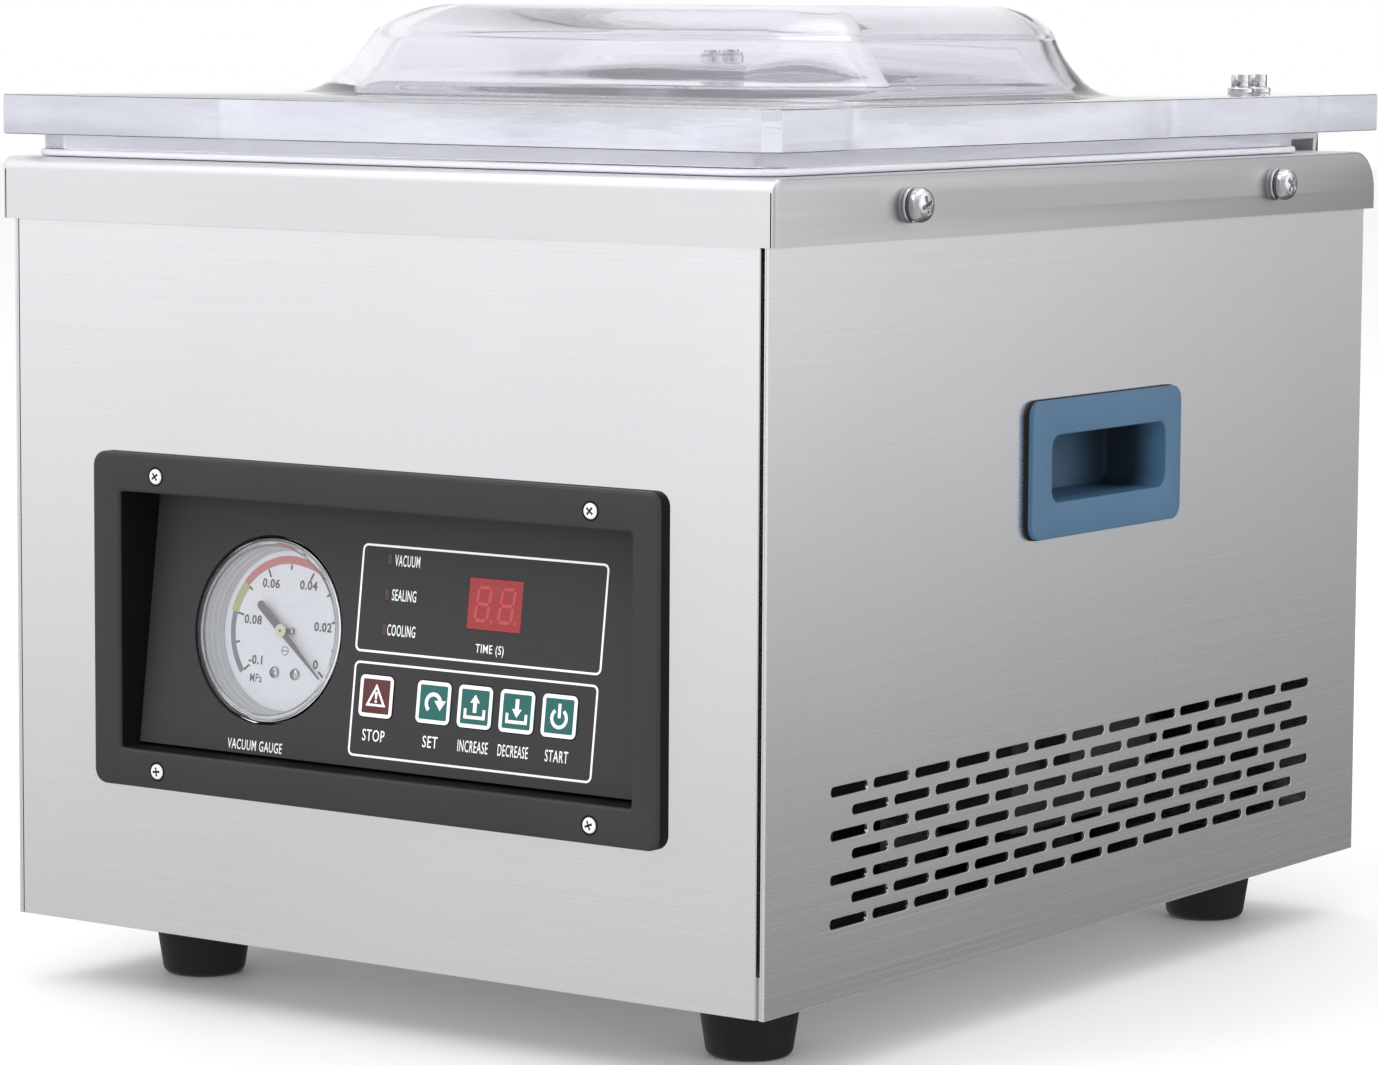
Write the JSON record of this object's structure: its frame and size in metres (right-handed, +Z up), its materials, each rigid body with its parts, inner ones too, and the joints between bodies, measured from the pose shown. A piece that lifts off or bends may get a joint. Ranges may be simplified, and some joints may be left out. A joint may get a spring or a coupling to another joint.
{
  "type": "vacuum packing machine",
  "caption": "Tabletop chamber vacuum packing machine: folded steel case, clear domed hinged lid, gauge and keys in a recessed panel, side grips and vents.",
  "frame": {"origin": "on the ground under the middle of the case, at the underside of the rubber feet", "axes": "+Z up, -Y towards the front with the control panel, +X to the machine's right as seen from the front"},
  "size_m": [0.3434, 0.4277, 0.3513],
  "materials": {
    "case_steel": "brushed stainless sheet",
    "chamber_steel": "drawn stainless, satin",
    "white_board": "cut polyethylene board",
    "aluminium": "extruded, anodised",
    "insulator_brown": "laminated insulator",
    "ribbon_alloy": "flat resistance ribbon",
    "bright_steel": "bright plated",
    "hinge_steel": "pressed steel",
    "cylinder_black": "moulded black",
    "bezel_plastic": "moulded charcoal, satin",
    "plate_plastic": "printed charcoal film on plastic",
    "red_window": "tinted window",
    "board_green": "circuit board",
    "key_red": "printed key",
    "key_teal": "printed key",
    "brass": "machined",
    "dial_white": "satin white paint",
    "needle_grey": "stamped pointer",
    "lens_clear": "clear moulding",
    "handle_blue": "moulded blue-grey",
    "black_rubber": "moulded rubber",
    "clear_acrylic": "polished clear acrylic",
    "white_silicone": "silicone seal",
    "red_silicone": "silicone strip",
    "pump_iron": "painted casting",
    "motor_paint": "enamel",
    "fan_plastic": "moulded fan",
    "copper": "enamelled winding",
    "switch_red": "moulded red"
  },
  "bodies": {
    "case": {"base_plate": "case_steel", "front_panel": "case_steel", "left_side_panel": "case_steel", "right_side_panel": "case_steel", "back_panel": "case_steel", "top_cover": "case_steel", "chamber_tub": "chamber_steel", "filler_plate": "white_board", "suction_strainer": "chamber_steel", "lift_cylinders": "cylinder_black", "lift_springs": "bright_steel", "panel_bezel": "bezel_plastic", "control_overlay": "plate_plastic", "display_window": "red_window", "indicator_lights": "red_window", "control_board": "board_green", "gauge_case": "cylinder_black", "gauge_stem": "brass", "gauge_dial": "dial_white", "gauge_lens": "lens_clear", "handle_left": "handle_blue", "handle_right": "handle_blue", "rubber_feet": "black_rubber", "foot_screws": "bright_steel", "cover_screws": "bright_steel", "panel_screws": "bright_steel", "back_panel_screws": "bright_steel", "hinge_brackets": "hinge_steel", "hinge_shaft": "bright_steel", "hinge_springs": "bright_steel", "pump_body": "pump_iron", "motor_housing": "motor_paint", "fan_cowl": "cylinder_black", "pump_mounts": "black_rubber", "transformer_core": "motor_paint", "transformer_coil": "copper", "vacuum_valve": "brass", "suction_hose": "black_rubber", "power_switch_body": "cylinder_black", "cable_gland": "cylinder_black", "lid_switch_body": "cylinder_black"},
    "lid": {"lid": "clear_acrylic", "lid_gasket": "white_silicone", "lid_bolts": "bright_steel", "pressure_bar": "aluminium", "pressure_pad": "red_silicone", "hinge_arms": "hinge_steel"},
    "seal_bar_carrier": {"seal_bar": "aluminium", "seal_bar_insulator": "insulator_brown", "heating_ribbons": "ribbon_alloy", "lift_pistons": "bright_steel"},
    "stop_button": {"key_stop": "key_red"},
    "set_button": {"key_set": "key_teal"},
    "increase_button": {"key_increase": "key_teal"},
    "decrease_button": {"key_decrease": "key_teal"},
    "start_button": {"key_start": "key_teal"},
    "needle": {"gauge_needle": "needle_grey"},
    "motor_rotor": {"motor_fan": "fan_plastic"},
    "rocker": {"power_switch_rocker": "switch_red"},
    "lid_plunger": {"lid_switch_plunger": "switch_red"}
  },
  "joints": [
    {"name": "lid_hinge", "type": "hinge", "parent": "case", "child": "lid", "pos_m": [0, 0.211, 0.29], "axis": [-1, 0, 0], "range_deg": [0, 60], "stiffness_Nm_per_rad": 1.6, "springref_deg": 60},
    {"name": "seal_bar_lift", "type": "slide", "parent": "case", "child": "seal_bar_carrier", "axis": [0, 0, 1], "range_m": [0, 0.0075], "stiffness_N_per_m": 1500, "deforming": ["lift_springs"]},
    {"name": "stop_press", "type": "slide", "parent": "case", "child": "stop_button", "axis": [0, 0.9914, -0.1305], "range_m": [0, 0.0006], "stiffness_N_per_m": 500},
    {"name": "set_press", "type": "slide", "parent": "case", "child": "set_button", "axis": [0, 0.9914, -0.1305], "range_m": [0, 0.0006], "stiffness_N_per_m": 500},
    {"name": "increase_press", "type": "slide", "parent": "case", "child": "increase_button", "axis": [0, 0.9914, -0.1305], "range_m": [0, 0.0006], "stiffness_N_per_m": 500},
    {"name": "decrease_press", "type": "slide", "parent": "case", "child": "decrease_button", "axis": [0, 0.9914, -0.1305], "range_m": [0, 0.0006], "stiffness_N_per_m": 500},
    {"name": "start_press", "type": "slide", "parent": "case", "child": "start_button", "axis": [0, 0.9914, -0.1305], "range_m": [0, 0.0006], "stiffness_N_per_m": 500},
    {"name": "gauge_needle_turn", "type": "hinge", "parent": "case", "child": "needle", "pos_m": [-0.0535, -0.19526, 0.13462], "axis": [0, -0.9914, 0.1305], "range_deg": [0, 260], "stiffness_Nm_per_rad": 0.002},
    {"name": "motor_spin", "type": "hinge", "parent": "case", "child": "motor_rotor", "pos_m": [0, 0.1, 0.098], "axis": [1, 0, 0], "continuous": true},
    {"name": "power_rock", "type": "hinge", "parent": "case", "child": "rocker", "pos_m": [0.1, 0.202, 0.07], "axis": [1, 0, 0], "range_deg": [-20, 0]},
    {"name": "lid_switch_rise", "type": "slide", "parent": "case", "child": "lid_plunger", "axis": [0, 0, 1], "range_m": [0, 0.002]}
  ],
  "couplings": [
    {"joint": "lid_switch_rise", "follows": "lid_hinge", "m_per_rad": 0.0019}
  ]
}
